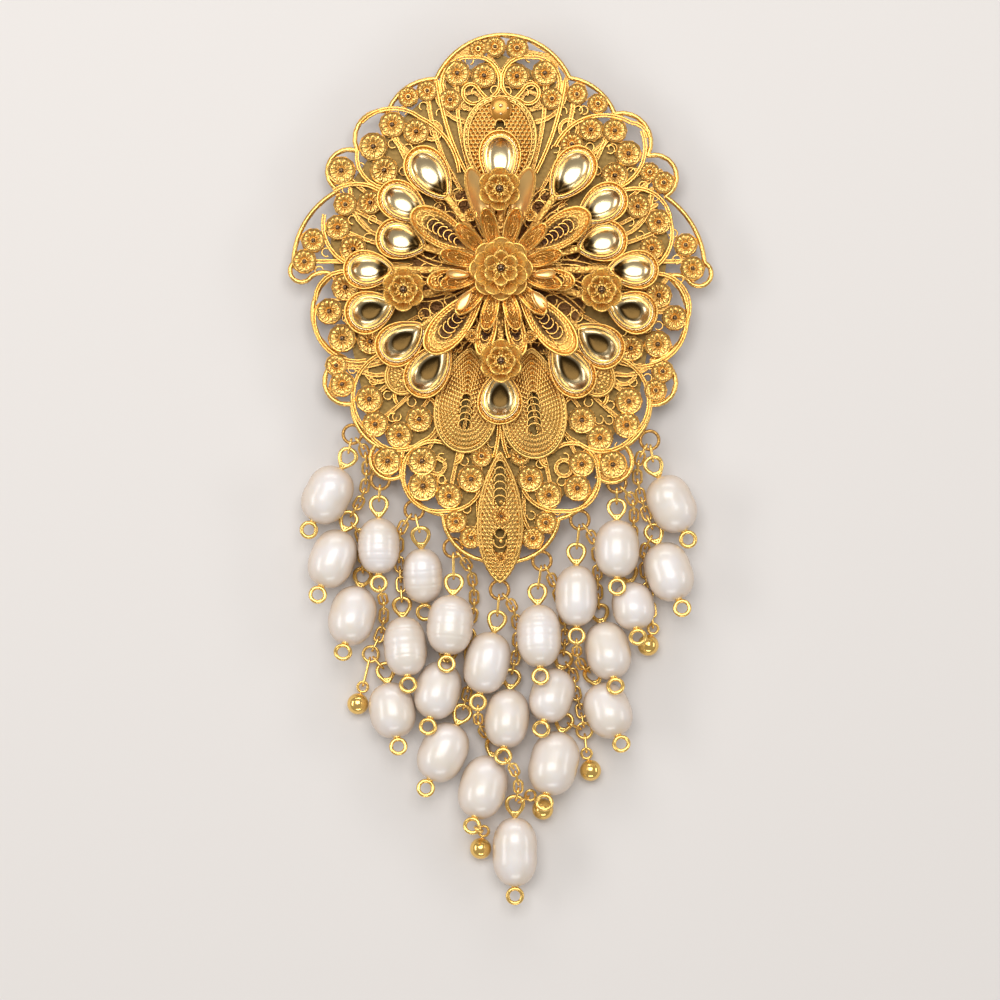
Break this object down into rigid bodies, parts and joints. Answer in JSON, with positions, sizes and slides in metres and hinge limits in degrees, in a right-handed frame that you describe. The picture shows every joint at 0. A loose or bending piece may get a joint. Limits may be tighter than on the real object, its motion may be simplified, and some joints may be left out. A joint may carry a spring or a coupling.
{
  "type": "filigree brooch",
  "caption": "Gold filigree brooch with an openwork plate, tiers of petals and flowers, and a fringe of chains, oval pearls and small balls; it pins to cloth.",
  "frame": {"origin": "on the surface that the brooch lies on, under the middle of its outline", "axes": "+X to the right and +Y to the top of the brooch as it is worn, +Z out of its front"},
  "size_m": [0.0554, 0.1136, 0.0136],
  "materials": {
    "plain_gold": "smooth gilded sheet and wire, satin",
    "filigree_gold": "gilded filigree wire with daisies and granules",
    "woven_gold": "gilded sheet covered by fine woven wire and granules",
    "polished_gold": "mirror-polished gilded sheet",
    "flower_gold": "gilded petals with fine ribs",
    "chain_gold": "bright gilded wire",
    "pearl": "cream nacre with a lilac sheen"
  },
  "bodies": {
    "root": {"pin_and_catch": "plain_gold", "back_plate": "plain_gold", "openwork_plate": "filigree_gold", "woven_top_petal": "woven_gold", "woven_lower_left_petal": "woven_gold", "woven_lower_right_petal": "woven_gold", "woven_small_left_petal": "woven_gold", "woven_small_right_petal": "woven_gold", "bottom_leaf": "woven_gold", "spoon_petals": "polished_gold", "looped_petals": "filigree_gold", "narrow_leaves": "filigree_gold", "top_flower": "flower_gold", "left_flower": "flower_gold", "right_flower": "flower_gold", "bottom_flower": "flower_gold", "centre_flower": "flower_gold", "strand_1": "chain_gold", "strand_2": "chain_gold", "strand_3": "chain_gold", "strand_4": "chain_gold", "strand_5": "chain_gold", "strand_6": "chain_gold", "strand_7": "chain_gold", "strand_8": "chain_gold", "strand_9": "chain_gold", "pearl_1": "pearl", "pearl_2": "pearl", "pearl_3": "pearl", "pearl_4": "pearl", "pearl_5": "pearl", "pearl_6": "pearl", "pearl_7": "pearl", "pearl_8": "pearl", "pearl_9": "pearl", "pearl_10": "pearl", "pearl_11": "pearl", "pearl_12": "pearl", "pearl_13": "pearl", "pearl_14": "pearl", "pearl_15": "pearl", "pearl_16": "pearl", "pearl_17": "pearl", "pearl_18": "pearl", "pearl_19": "pearl", "pearl_20": "pearl", "pearl_21": "pearl", "pearl_22": "pearl", "pearl_23": "pearl", "pearl_24": "pearl"}
  },
  "joints": []
}
